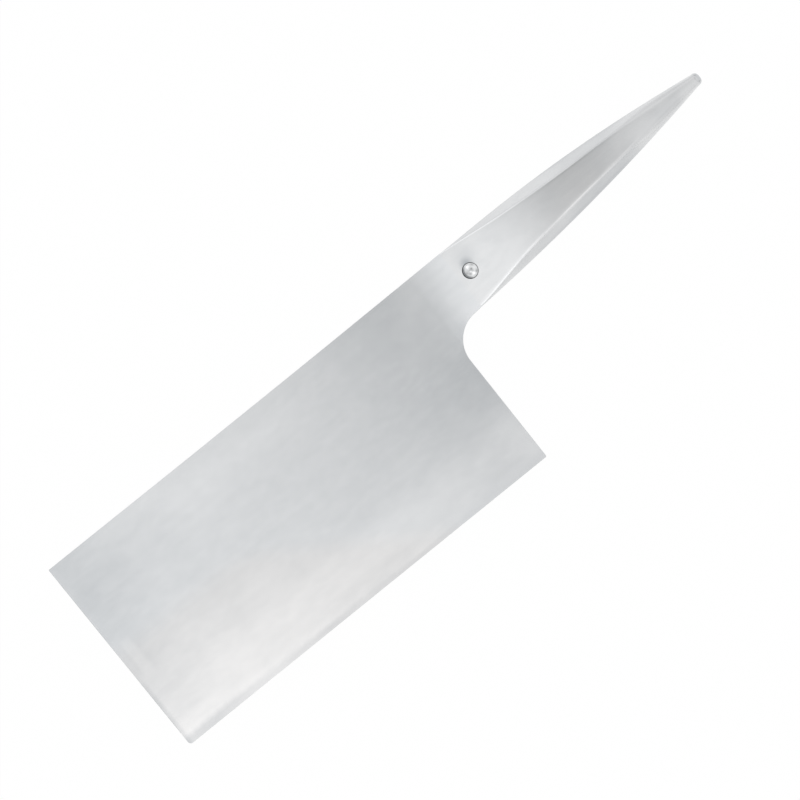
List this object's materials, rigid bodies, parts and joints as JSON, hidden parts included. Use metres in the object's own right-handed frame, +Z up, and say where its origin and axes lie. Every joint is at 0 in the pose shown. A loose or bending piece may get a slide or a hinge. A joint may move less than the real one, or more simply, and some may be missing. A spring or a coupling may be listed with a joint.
{
  "type": "vegetable cleaver",
  "caption": "All-steel vegetable cleaver: tall rectangular blade with a straight cutting edge, a finger choil behind the heel and a faceted hollow handle that tapers to a rounded butt.",
  "frame": {"origin": "middle of the underside of the knife's box as it lies flat, handle crest down", "axes": "+X along the spine from the toe towards the butt, -Y towards the cutting edge, +Z up through the thickness"},
  "size_m": [0.3122, 0.0862, 0.016],
  "materials": {
    "blade_steel": "satin ground, faint cloudy polish",
    "handle_steel": "satin, fine brushed",
    "polished_steel": "mirror polished",
    "filling": "packed grains, hidden inside the handle"
  },
  "bodies": {
    "root": {"blade": "blade_steel", "handle_shell_front": "handle_steel", "handle_shell_back": "handle_steel", "pearl": "polished_steel", "balance_filling": "filling", "butt_plug": "handle_steel"}
  },
  "joints": []
}
